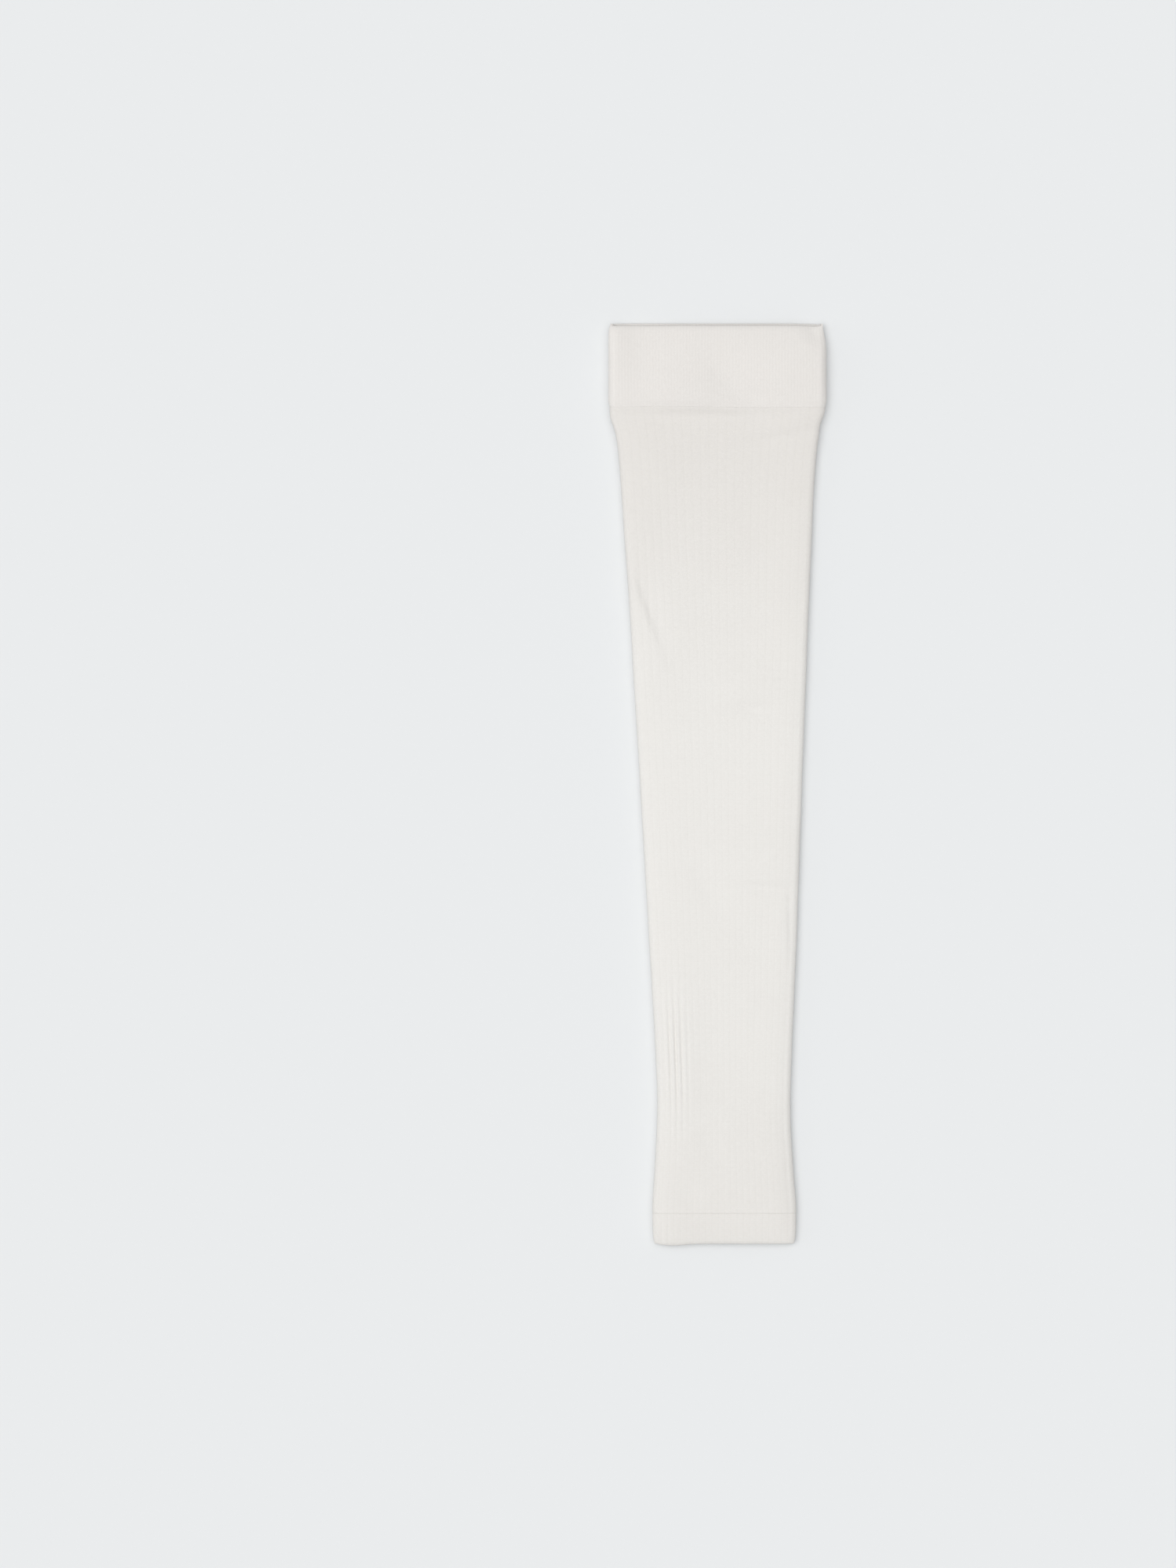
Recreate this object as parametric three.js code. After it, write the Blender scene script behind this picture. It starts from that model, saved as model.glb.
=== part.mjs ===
// A knitted arm sleeve lying flat: an upper cuff, a long ribbed tube and a wrist hem.
//
// Millimetres, +Z up. The sleeve lies on the plane z = 0 along Y, with its cuff at +Y, its wrist at -Y
// and X across it. The origin is on that plane, under the middle of the sleeve's box.
//
// All three pieces are walls round one low hollow. A wall is drawn as a closed profile of distance
// along the sleeve against depth out from the hollow, turned into a ring and then laid round the hollow.

import * as THREE from 'three';
import { mergeVertices } from 'three/addons/utils/BufferGeometryUtils.js';

// Driving dimensions
const LENGTH = 430; // from the cuff's upper edge to the hem's lower edge
const CUFF_DEPTH = 39.4;
const CUFF_LAP = 8; // how far the cuff lies over the tube's end
const HEM_DEPTH = 14.3;
const HEM_LAP = 8; // how far the hem's turned layer runs up inside the tube
const KNIT = 1; // one layer of the tube's knit
const TURNED_KNIT = 0.75; // the second layer of a turned edge
const CLEARANCE = 0.25; // between knits that lie on each other
const EDGE_HEIGHT = 4; // clear height inside the sleeve at its two folded edges
const CROWN_POWER = 8; // the crown is level along its middle and falls away near the edges
const RIB_DEPTH = 0.4;
const RIBS = 24; // across the upper face

// A turned edge is two layers thick
const TURNED_EDGE = KNIT + CLEARANCE + TURNED_KNIT;

// Stretches along the sleeve, from the cuff's upper edge, over which its lie changes
const UNDERSIDE_SETTLES = { from: CUFF_DEPTH, to: 78 }; // from the cuff's thickness down to the floor
const RIBS_RISE = { from: CUFF_DEPTH, to: 46 }; // the ribs are pressed flat under the cuff

// Half width of the hollow, sideways lean of its centre line, and how much higher the hollow is along
// its middle than at its edges
const SECTIONS = [
  { along: 0, halfWidth: 48.9, lean: 0, crown: 1 },
  { along: CUFF_DEPTH, halfWidth: 48.9, lean: 0, crown: 1.3 },
  { along: 44, halfWidth: 48.8, lean: 0, crown: 1.3 },
  { along: 51, halfWidth: 46.8, lean: 0, crown: 1.3 },
  { along: 59, halfWidth: 45.5, lean: 0, crown: 1.3 },
  { along: 83, halfWidth: 43.7, lean: 0.1, crown: 1.3 },
  { along: 127, halfWidth: 41.2, lean: 0.7, crown: 1.3 },
  { along: 208, halfWidth: 37.2, lean: 1.6, crown: 1.3 },
  { along: 296, halfWidth: 33.1, lean: 2.6, crown: 1.3 },
  { along: 354, halfWidth: 30.3, lean: 3, crown: 1.4 },
  { along: 376, halfWidth: 30.3, lean: 3, crown: 1.7 },
  { along: 398, halfWidth: 31.6, lean: 3.1, crown: 2.1 },
  { along: 413, halfWidth: 32.6, lean: 3.2, crown: 2.3 },
  { along: LENGTH, halfWidth: 32.4, lean: 3.2, crown: 2.3 },
];

// Soft folds of the upper face, ridges and one valley: the middle of each, the way it runs (degrees
// from X towards the wrist), its half length, its half widths ahead (towards the wrist, or the left
// edge if it runs along the sleeve) and behind, and its height
const FOLDS = [
  { across: 34, along: 22, turn: 4, length: 24, ahead: 11, behind: 16, rise: 1.3 }, // cuff, right
  { across: -19, along: 32, turn: 12, length: 17, ahead: 9, behind: 11, rise: 1.4 }, // cuff, left
  { across: 5, along: 26, turn: 50, length: 15, ahead: 7, behind: 12, rise: -1.1 }, // between those
  { across: 32, along: 48, turn: -10, length: 22, ahead: 4, behind: 6, rise: 0.6 }, // under the cuff
  { across: -24, along: 62, turn: 20, length: 24, ahead: 10, behind: 10, rise: 0.6 }, // upper arm
  { across: -38, along: 124, turn: 72, length: 24, ahead: 6, behind: 5, rise: 0.9 }, // left edge
  { across: 16, along: 167, turn: 3, length: 18, ahead: 8, behind: 12, rise: 0.7 }, // elbow
  { across: 20, along: 254, turn: 5, length: 19, ahead: 8, behind: 12, rise: 0.7 }, // forearm, right
  { across: -19, along: 342, turn: 90, length: 34, ahead: 8, behind: 8, rise: 0.7 }, // forearm, left
];

// Colours of the knit
const CUFF_COLOR = 0xe8e5e1;
const BODY_COLOR = 0xebe9e5;

// Steps round the ring, and the smallest step along it
const UPPER_STEPS = 2 * RIBS;
const EDGE_STEPS = 6;
const LOWER_STEPS = 12;
const RING_STEPS = UPPER_STEPS + EDGE_STEPS + LOWER_STEPS + EDGE_STEPS;
const SMALLEST_STEP = 5;
const TURN_STEPS = 4; // round a turned edge

// How much of a gradual change has happened at a distance along the sleeve
function progress(stretch, along) {
  return THREE.MathUtils.smoothstep(along, stretch.from, stretch.to);
}

const sectionCurve = new THREE.CubicInterpolant(
  SECTIONS.map((row) => row.along),
  SECTIONS.flatMap((row) => [row.halfWidth, row.lean, row.crown]),
  3,
);

// The hollow's cross-section: a flat underside and a crowned upper face, joined by round edges
function hollowAt(along) {
  const [halfWidth, lean, crown] = sectionCurve.evaluate(along);
  const radius = EDGE_HEIGHT / 2;
  const floor = THREE.MathUtils.lerp(TURNED_EDGE, KNIT, progress(UNDERSIDE_SETTLES, along));
  return { lean, crown, radius, flat: halfWidth - radius, middle: floor + radius };
}

// Where a step of the ring lies: a point on the hollow's middle line and the way out from it
function ringSpot(step, flat) {
  const faces = [
    { steps: UPPER_STEPS, across: flat, travel: -2 * flat, angle: 90, sweep: 0 },
    { steps: EDGE_STEPS, across: -flat, travel: 0, angle: 90, sweep: 180 },
    { steps: LOWER_STEPS, across: -flat, travel: 2 * flat, angle: 270, sweep: 0 },
    { steps: EDGE_STEPS, across: flat, travel: 0, angle: 270, sweep: 180 },
  ];
  let left = step;
  let index = 0;
  while (left >= faces[index].steps) {
    left -= faces[index].steps;
    index += 1;
  }
  const { steps, across, travel, angle: start, sweep } = faces[index];
  const share = left / steps;
  const angle = THREE.MathUtils.degToRad(start + sweep * share);
  return {
    across: across + travel * share,
    outX: Math.cos(angle),
    outZ: Math.sin(angle),
  };
}

// Height of all the folds together at a place on the upper face
function foldRise(across, along) {
  return FOLDS.reduce((sum, fold) => {
    const turn = THREE.MathUtils.degToRad(fold.turn);
    const x = across - fold.across;
    const y = along - fold.along;
    const lengthwise = (x * Math.cos(turn) + y * Math.sin(turn)) / fold.length;
    const sideways = y * Math.cos(turn) - x * Math.sin(turn);
    const aside = sideways / (sideways > 0 ? fold.ahead : fold.behind);
    return sum + fold.rise * Math.exp(-(lengthwise ** 2) - aside ** 2);
  }, 0);
}

// Distances along the sleeve at which a wall has a ring: its ends, the sections, and the folds with
// their two feet
function stations(start, end) {
  const feet = FOLDS.flatMap((fold) => {
    const turn = THREE.MathUtils.degToRad(fold.turn);
    const above = Math.hypot(fold.length * Math.sin(turn), fold.behind * Math.cos(turn));
    const below = Math.hypot(fold.length * Math.sin(turn), fold.ahead * Math.cos(turn));
    return [fold.along - above, fold.along, fold.along + below];
  });
  const wanted = SECTIONS.map((row) => row.along).concat(feet).sort((a, b) => a - b);
  const kept = [start];
  wanted.forEach((along) => {
    const clearOfLast = along - kept[kept.length - 1] >= SMALLEST_STEP;
    if (clearOfLast && end - along >= SMALLEST_STEP) {
      kept.push(along);
    }
  });
  return [...kept, end];
}

// Profile points of a half-round turned edge, from its inner face round to its outer face
function turnedEdge(along, innerDepth, direction) {
  const radius = TURNED_EDGE / 2;
  return Array.from({ length: TURN_STEPS + 1 }, (_, step) => {
    const angle = Math.PI * (step / TURN_STEPS);
    return {
      along: along + direction * radius * (1 - Math.sin(angle)),
      depth: innerDepth + radius * (1 - Math.cos(angle)),
    };
  });
}

// A face of a wall at one depth, as profile points at the given distances
function face(alongs, depth, ribbed = false) {
  return alongs.map((along) => ({ along, depth, ribbed }));
}

// Lay a closed wall round the hollow. The profile runs up its inner face and back down its outer face.
// The lathe only joins the rings up: each point is then put where it lies.
function laidWall(profile) {
  const closed = [...profile, profile[0]];
  const drawn = closed.map((point) => new THREE.Vector2(LENGTH + point.depth, point.along));
  const geometry = new THREE.LatheGeometry(drawn, RING_STEPS);
  const position = geometry.attributes.position;
  for (let index = 0; index < position.count; index += 1) {
    const step = Math.floor(index / closed.length) % RING_STEPS;
    const { along, depth, ribbed } = closed[index % closed.length];
    const { lean, crown, radius, flat, middle } = hollowAt(along);
    const spot = ringSpot(step, flat);
    const inGroove = ribbed && step < UPPER_STEPS && step % 2 === 1;
    const groove = inGroove ? RIB_DEPTH * progress(RIBS_RISE, along) : 0;
    const out = radius + depth - groove;
    const arch = crown * (1 - (spot.across / flat) ** CROWN_POWER);
    const rise = Math.max(spot.outZ, 0) * (arch + foldRise(spot.across, along));
    position.setXYZ(
      index,
      lean + spot.across + out * spot.outX,
      LENGTH / 2 - along,
      middle + out * spot.outZ + rise,
    );
  }
  geometry.deleteAttribute('normal');
  geometry.deleteAttribute('uv');
  const welded = mergeVertices(geometry);
  welded.computeVertexNormals();
  return welded;
}

// Matt knit
function knit(color) {
  return new THREE.MeshStandardMaterial({ color, roughness: 0.92, metalness: 0 });
}

// A named wall of knit
function piece(name, profile, color) {
  const mesh = new THREE.Mesh(laidWall(profile), knit(color));
  mesh.name = name;
  return mesh;
}

// The cuff: a doubled band whose outer layer goes on down over the tube's end
function upperCuff() {
  const lapStart = CUFF_DEPTH - CUFF_LAP;
  const edgeStart = TURNED_EDGE / 2;
  const inner = stations(edgeStart, lapStart).slice(1).reverse();
  const outer = stations(edgeStart, CUFF_DEPTH - CLEARANCE).slice(1);
  return piece('upper_cuff', [
    ...face([CUFF_DEPTH, lapStart], KNIT + CLEARANCE),
    ...face(inner, 0),
    ...turnedEdge(0, 0, 1),
    ...face(outer, TURNED_EDGE),
    ...face([CUFF_DEPTH], TURNED_EDGE - CLEARANCE),
  ], CUFF_COLOR);
}

// The tube: one layer of ribbed knit from inside the cuff to the hem
function sleeveBody() {
  const alongs = stations(CUFF_DEPTH - CUFF_LAP + CLEARANCE, LENGTH - HEM_DEPTH - CLEARANCE);
  return piece('sleeve_body', [
    ...face([...alongs].reverse(), 0),
    ...face(alongs, KNIT, true),
  ], BODY_COLOR);
}

// The hem: level with the tube outside, with its turned layer running up inside the tube
function wristHem() {
  const hemStart = LENGTH - HEM_DEPTH;
  const lapEnd = hemStart - HEM_LAP;
  const edgeStart = LENGTH - TURNED_EDGE / 2;
  const innerDepth = KNIT - TURNED_EDGE;
  return piece('wrist_hem', [
    ...face([edgeStart, hemStart, lapEnd], innerDepth),
    ...face([lapEnd, hemStart], -CLEARANCE),
    ...face([hemStart, edgeStart - TURNED_EDGE], KNIT, true),
    ...turnedEdge(LENGTH, innerDepth, -1).reverse().slice(0, -1),
  ], BODY_COLOR);
}

const armSleeve = new THREE.Group();
armSleeve.add(upperCuff(), sleeveBody(), wristHem());

export default armSleeve;
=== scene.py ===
"""Dress the knitted arm sleeve: a turned cuff, a ribbed tube and a turned hem, lying on a pale floor.

Everything is in metres, in the part's own frame: +Y along the sleeve towards the cuff, +X across it and
+Z up. A distance along the sleeve runs from the cuff's upper edge to the hem's lower edge. A share round
the sleeve runs from 0 at its right edge over the upper face, past the left edge at one half, and back
along the underside to 1. A depth is how far a point lies out from the hollow that the arm goes into.
"""

import logging
import math
from dataclasses import dataclass, field
from enum import Enum

import bpy
import numpy as np
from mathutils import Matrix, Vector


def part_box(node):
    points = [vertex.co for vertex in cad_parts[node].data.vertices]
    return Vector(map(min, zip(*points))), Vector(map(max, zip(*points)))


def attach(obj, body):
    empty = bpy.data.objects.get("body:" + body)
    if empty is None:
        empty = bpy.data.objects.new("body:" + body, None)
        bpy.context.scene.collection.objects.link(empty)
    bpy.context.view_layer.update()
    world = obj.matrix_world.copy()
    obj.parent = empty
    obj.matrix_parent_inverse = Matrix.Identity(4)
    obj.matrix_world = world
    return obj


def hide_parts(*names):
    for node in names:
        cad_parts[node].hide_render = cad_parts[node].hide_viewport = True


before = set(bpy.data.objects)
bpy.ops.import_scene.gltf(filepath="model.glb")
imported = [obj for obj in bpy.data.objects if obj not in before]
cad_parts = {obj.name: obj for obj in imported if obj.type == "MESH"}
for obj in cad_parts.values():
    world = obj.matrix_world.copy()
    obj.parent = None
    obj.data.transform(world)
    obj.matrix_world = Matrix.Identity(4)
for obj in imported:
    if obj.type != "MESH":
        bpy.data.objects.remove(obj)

LOG = logging.getLogger("arm_sleeve")
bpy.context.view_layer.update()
MM = 0.001

Colour = tuple[float, float, float]
Socket = bpy.types.NodeSocket
Value = Socket | float

# Sizes read from the frame
CUFF_LOW, CUFF_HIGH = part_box("upper_cuff")
TUBE_LOW, TUBE_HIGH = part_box("sleeve_body")
HEM_LOW, HEM_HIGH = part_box("wrist_hem")
TOP_Y = CUFF_HIGH.y
LENGTH = CUFF_HIGH.y - HEM_LOW.y
CUFF_DEPTH = CUFF_HIGH.y - CUFF_LOW.y
TUBE_START = TOP_Y - TUBE_HIGH.y
TUBE_END = TOP_Y - TUBE_LOW.y
HEM_LAP_END = TOP_Y - HEM_HIGH.y

# The wall: one layer, a turned edge, how far each face of that edge is pressed in, and the gap of a lap
KNIT = 1.0 * MM
TURNED_EDGE = 2.0 * MM
PRESSED_IN = 0.35 * MM
CLEARANCE = 0.25 * MM

# Where two pieces meet: the gap between them, and the rounding of their edges
SEAM_GAP = 0.02 * MM
SEAM_ROUND = 0.1 * MM

# The hollow's height at its edges, and the power that keeps its crown level along its middle
EDGE_HEIGHT = 4.0 * MM
CROWN_POWER = 8

# The knit: needles round the whole sleeve, and how far apart its courses are
NEEDLES = 288
COURSE = 0.62 * MM

# Points of a wall that are closer than this are welded
WELD = 0.002 * MM

# Colours of the knit, linear; WARM is also darker, and towards the cuff that darkening is painted shade
# below the cuff's edge
PALE = (0.885, 0.871, 0.843)
WARM = (0.824, 0.799, 0.768)
CUFF_TONE = (0.853, 0.827, 0.8)


class Rib(Enum):
    """How many needles one rib takes, from the middle of one groove to the next."""

    WIDE = 6
    FINE = 2

    @property
    def count(self) -> int:
        """Ribs round the whole sleeve."""
        return NEEDLES // self.value


@dataclass(frozen=True)
class Section:
    """Cross-section of the hollow at one distance along the sleeve, in millimetres.

    Attributes:
        along: distance along the sleeve.
        half_width: half width of the hollow.
        lean: shift of its centre line along X.
        crown: how much higher it is along its middle than at its edges.
    """

    along: float
    half_width: float
    lean: float
    crown: float


# The hollow from cuff to hem, with a lower crown than the solids have, because the knit lies flatter
SECTIONS = (
    Section(along=0.0, half_width=48.9, lean=0.0, crown=0.3),
    Section(along=39.4, half_width=48.9, lean=0.0, crown=0.5),
    Section(along=44.0, half_width=48.8, lean=0.0, crown=0.6),
    Section(along=51.0, half_width=46.8, lean=0.0, crown=0.7),
    Section(along=59.0, half_width=45.5, lean=0.0, crown=0.8),
    Section(along=83.0, half_width=43.7, lean=0.1, crown=0.8),
    Section(along=127.0, half_width=41.2, lean=0.7, crown=0.8),
    Section(along=208.0, half_width=37.2, lean=1.6, crown=0.8),
    Section(along=296.0, half_width=33.1, lean=2.6, crown=0.8),
    Section(along=354.0, half_width=30.3, lean=3.0, crown=0.9),
    Section(along=376.0, half_width=30.3, lean=3.0, crown=1.1),
    Section(along=398.0, half_width=31.6, lean=3.1, crown=1.3),
    Section(along=413.0, half_width=32.6, lean=3.2, crown=1.4),
    Section(along=430.0, half_width=32.4, lean=3.2, crown=1.4),
)


@dataclass(frozen=True)
class Fold:
    """A soft fold of the upper face: a long rounded ridge, or a valley where its rise is negative.

    Sizes are in millimetres. A fold that runs along X has the wrist ahead of it and the cuff behind it,
    and one that runs along the sleeve has the left edge ahead of it and the right edge behind it.

    Attributes:
        across: middle of the fold along X from the centre line.
        along: middle of the fold along the sleeve.
        turn: way that it runs, in degrees from X towards the wrist.
        length: half length.
        ahead: half width on the side ahead.
        behind: half width on the side behind.
        rise: height.
    """

    across: float
    along: float
    turn: float
    length: float
    ahead: float
    behind: float
    rise: float

    def height(self, across: np.ndarray, along: np.ndarray) -> np.ndarray:
        """Height of the fold at places on the upper face.

        Args:
            across: distances from the centre line, in metres.
            along: distances along the sleeve, in metres.

        Returns:
            Heights in metres.
        """
        turn = math.radians(self.turn)
        x = across / MM - self.across
        y = along / MM - self.along
        lengthwise = (x * math.cos(turn) + y * math.sin(turn)) / self.length
        sideways = y * math.cos(turn) - x * math.sin(turn)
        sideways = np.where(sideways > 0, sideways / self.ahead, sideways / self.behind)
        return self.rise * MM * np.exp(-(lengthwise**2) - sideways**2)


# The broad folds of the cuff, of the upper arm and of the forearm
FOLDS = (
    Fold(across=34, along=22, turn=4, length=24, ahead=11, behind=16, rise=1.3),
    Fold(across=-19, along=32, turn=12, length=17, ahead=9, behind=11, rise=1.4),
    Fold(across=5, along=26, turn=50, length=15, ahead=7, behind=12, rise=-1.1),
    Fold(across=32, along=48, turn=-10, length=22, ahead=4, behind=6, rise=0.6),
    Fold(across=-24, along=62, turn=20, length=24, ahead=10, behind=10, rise=0.6),
    Fold(across=-38, along=124, turn=72, length=24, ahead=6, behind=5, rise=0.9),
    Fold(across=16, along=167, turn=3, length=18, ahead=8, behind=12, rise=0.7),
    Fold(across=20, along=254, turn=5, length=19, ahead=8, behind=12, rise=0.7),
    Fold(across=-19, along=342, turn=90, length=34, ahead=8, behind=8, rise=0.7),
)

# Creases and dents, where the knit is drawn in
CREASES = (
    Fold(across=-36, along=12, turn=85, length=20, ahead=9, behind=15, rise=-1.5),
    Fold(across=22, along=34.5, turn=4, length=16, ahead=4, behind=2.6, rise=-0.6),
    Fold(across=47, along=4, turn=50, length=8, ahead=5, behind=4, rise=-1.1),
    Fold(across=-5, along=43.5, turn=0, length=42, ahead=6, behind=2.6, rise=-1.3),
    Fold(across=28, along=53, turn=-10, length=20, ahead=3, behind=1.4, rise=-0.7),
    Fold(across=-17, along=91, turn=10, length=18, ahead=4, behind=2, rise=-0.5),
    Fold(across=-33.5, along=131, turn=70, length=20, ahead=2.2, behind=5, rise=-1.2),
    Fold(across=24, along=158.5, turn=-2, length=13, ahead=3, behind=1.4, rise=-0.5),
    Fold(across=15.5, along=179.5, turn=0, length=11, ahead=3.5, behind=1.5, rise=-0.9),
    Fold(across=-8, along=263, turn=60, length=13, ahead=5, behind=9, rise=-0.7),
    Fold(across=22, along=263.5, turn=4, length=14, ahead=3, behind=1.4, rise=-0.9),
    Fold(across=31.5, along=283, turn=88, length=18, ahead=1.5, behind=4, rise=-0.5),
    Fold(across=-6, along=386, turn=60, length=8, ahead=4, behind=6, rise=-0.5),
    Fold(across=-18, along=407, turn=30, length=10, ahead=6, behind=8, rise=-0.6),
)


@dataclass(frozen=True)
class Pull:
    """A place where an edge is drawn out of line. Sizes are in millimetres.

    Attributes:
        across: middle of the place along X from the centre line.
        along: middle of the place along the sleeve.
        reach_across: how far it reaches along X.
        reach_along: how far it reaches along the sleeve.
        shift_across: how far it is drawn along X.
        shift_along: how far it is drawn towards the wrist.
    """

    across: float
    along: float
    reach_across: float
    reach_along: float
    shift_across: float
    shift_along: float

    def shift(self, across: np.ndarray, along: np.ndarray) -> tuple[np.ndarray, np.ndarray]:
        """Read the pull at places on the sleeve.

        Args:
            across: distances from the centre line, in metres.
            along: distances along the sleeve, in metres.

        Returns:
            Shifts along X and towards the wrist, in metres.
        """
        x = (across / MM - self.across) / self.reach_across
        y = (along / MM - self.along) / self.reach_along
        share = MM * np.exp(-(x**2) - y**2)
        return self.shift_across * share, self.shift_along * share


PULLS = (
    Pull(across=51, along=2, reach_across=9, reach_along=6, shift_across=-1.4, shift_along=0.4),
    Pull(across=-51, along=0, reach_across=4, reach_along=3, shift_across=0.5, shift_along=0.3),
    Pull(across=-25, along=39, reach_across=14, reach_along=8, shift_across=0.0, shift_along=-0.3),
    Pull(across=22, along=39, reach_across=18, reach_along=8, shift_across=0.0, shift_along=0.3),
    Pull(across=50, along=46.5, reach_across=9, reach_along=4, shift_across=-1.0, shift_along=0.0),
    Pull(across=-24, along=430, reach_across=7, reach_along=9, shift_across=0.0, shift_along=0.8),
    Pull(across=-34, along=430, reach_across=3, reach_along=4, shift_across=0.2, shift_along=-0.4),
    Pull(across=34, along=430, reach_across=3, reach_along=4, shift_across=-0.2, shift_along=-0.3),
)


@dataclass(frozen=True)
class Gather:
    """A place where the knit is drawn together and the grooves between its ribs become creases.

    Attributes:
        share: middle of the place, as a share round the sleeve.
        along: middle of the place along the sleeve, in millimetres.
        reach_share: how far it reaches round the sleeve.
        reach_along: how far it reaches along the sleeve, in millimetres.
        depth: depth of the creases, in millimetres.
    """

    share: float
    along: float
    reach_share: float
    reach_along: float
    depth: float

    def amount(self, share: np.ndarray, along: np.ndarray) -> np.ndarray:
        """Read the gather at places on the sleeve.

        Args:
            share: shares round the sleeve.
            along: distances along the sleeve, in metres.

        Returns:
            Depths of the creases, in metres.
        """
        x = (share - self.share) / self.reach_share
        y = (along / MM - self.along) / self.reach_along
        return self.depth * MM * np.exp(-(x**2) - y**2)


GATHERS = (
    Gather(share=0.419, along=343, reach_share=0.034, reach_along=24, depth=1.2),
    Gather(share=0.45, along=134, reach_share=0.035, reach_along=22, depth=0.12),
    Gather(share=0.45, along=424, reach_share=0.03, reach_along=9, depth=0.2),
    Gather(share=0.36, along=85, reach_share=0.08, reach_along=25, depth=0.04),
)


def ease(value: np.ndarray, start: float, end: float) -> np.ndarray:
    """Smooth step from 0 at start to 1 at end.

    Args:
        value: where to read the step.
        start: where it begins.
        end: where it is complete.

    Returns:
        Values from 0 to 1.
    """
    share = np.clip((value - start) / (end - start), 0.0, 1.0)
    return share * share * (3.0 - 2.0 * share)


def smooth_row(where: np.ndarray, knots: np.ndarray, values: np.ndarray) -> np.ndarray:
    """Read a smooth curve through a row of values.

    Args:
        where: places to read.
        knots: places of the given values, rising.
        values: the given values.

    Returns:
        The curve's values.
    """
    slopes = np.gradient(values, knots)
    slopes[1:-1] = (values[2:] - values[:-2]) / (knots[2:] - knots[:-2])
    index = np.clip(np.searchsorted(knots, where, side="right") - 1, 0, len(knots) - 2)
    span = knots[index + 1] - knots[index]
    t = np.clip((where - knots[index]) / span, 0.0, 1.0)
    return (
        (1 + 2 * t) * (1 - t) ** 2 * values[index]
        + t * (1 - t) ** 2 * span * slopes[index]
        + t**2 * (3 - 2 * t) * values[index + 1]
        + t**2 * (t - 1) * span * slopes[index + 1]
    )


@dataclass(frozen=True)
class Waves:
    """Gentle unevenness, as crossing waves that each run a golden angle away from the last.

    Attributes:
        shortest: shortest wavelength.
        step: how much longer each next wavelength is.
        count: number of waves.
    """

    shortest: float
    step: float
    count: int

    def height(self, along: np.ndarray, across: np.ndarray) -> np.ndarray:
        """Read the waves at places on the sleeve.

        Args:
            along: distances along it.
            across: distances across it.

        Returns:
            Heights, mostly between -1 and 1.
        """
        golden_angle = math.pi * (3 - math.sqrt(5))
        total = np.zeros_like(along)
        for wave in range(self.count):
            heading = wave * golden_angle
            run = across * math.cos(heading) + along * math.sin(heading)
            total += np.sin(2 * math.pi * run / (self.shortest + wave * self.step) + wave * wave)
        return total / self.count**0.5 / 2


@dataclass
class Hollow:
    """The hollow at a row of distances along the sleeve.

    Attributes:
        flat: half width of its flat part.
        radius: radius of its round edges.
        lean: shift of its centre line along X.
        middle: height of the middle of its edges.
        crown: how much higher it is along its middle.
    """

    flat: np.ndarray
    radius: float
    lean: np.ndarray
    middle: np.ndarray
    crown: np.ndarray

    def girth(self) -> np.ndarray:
        """Length of the knit round it."""
        return 4 * self.flat + 2 * math.pi * (self.radius + KNIT)


@dataclass(frozen=True)
class Lip:
    """How a mouth's upper lip comes down towards its lower lip.

    Attributes:
        droop: share of the mouth's height that it sinks.
        droop_reach: how far in from the mouth that goes.
        curl: share of the mouth's height that its edge curls down besides.
        curl_length: length of the curled edge.
    """

    droop: float
    droop_reach: float
    curl: float
    curl_length: float

    def sinking(self, inside: np.ndarray) -> np.ndarray:
        """How far down the lip has come.

        Args:
            inside: distances in from the mouth.

        Returns:
            Shares of the mouth's height.
        """
        drooping = np.exp(-((inside / self.droop_reach) ** 2))
        into_curl = np.clip(1 - inside / self.curl_length, 0, 1)
        return self.droop * drooping + self.curl * (1 - np.sqrt(1 - into_curl**2))


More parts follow.
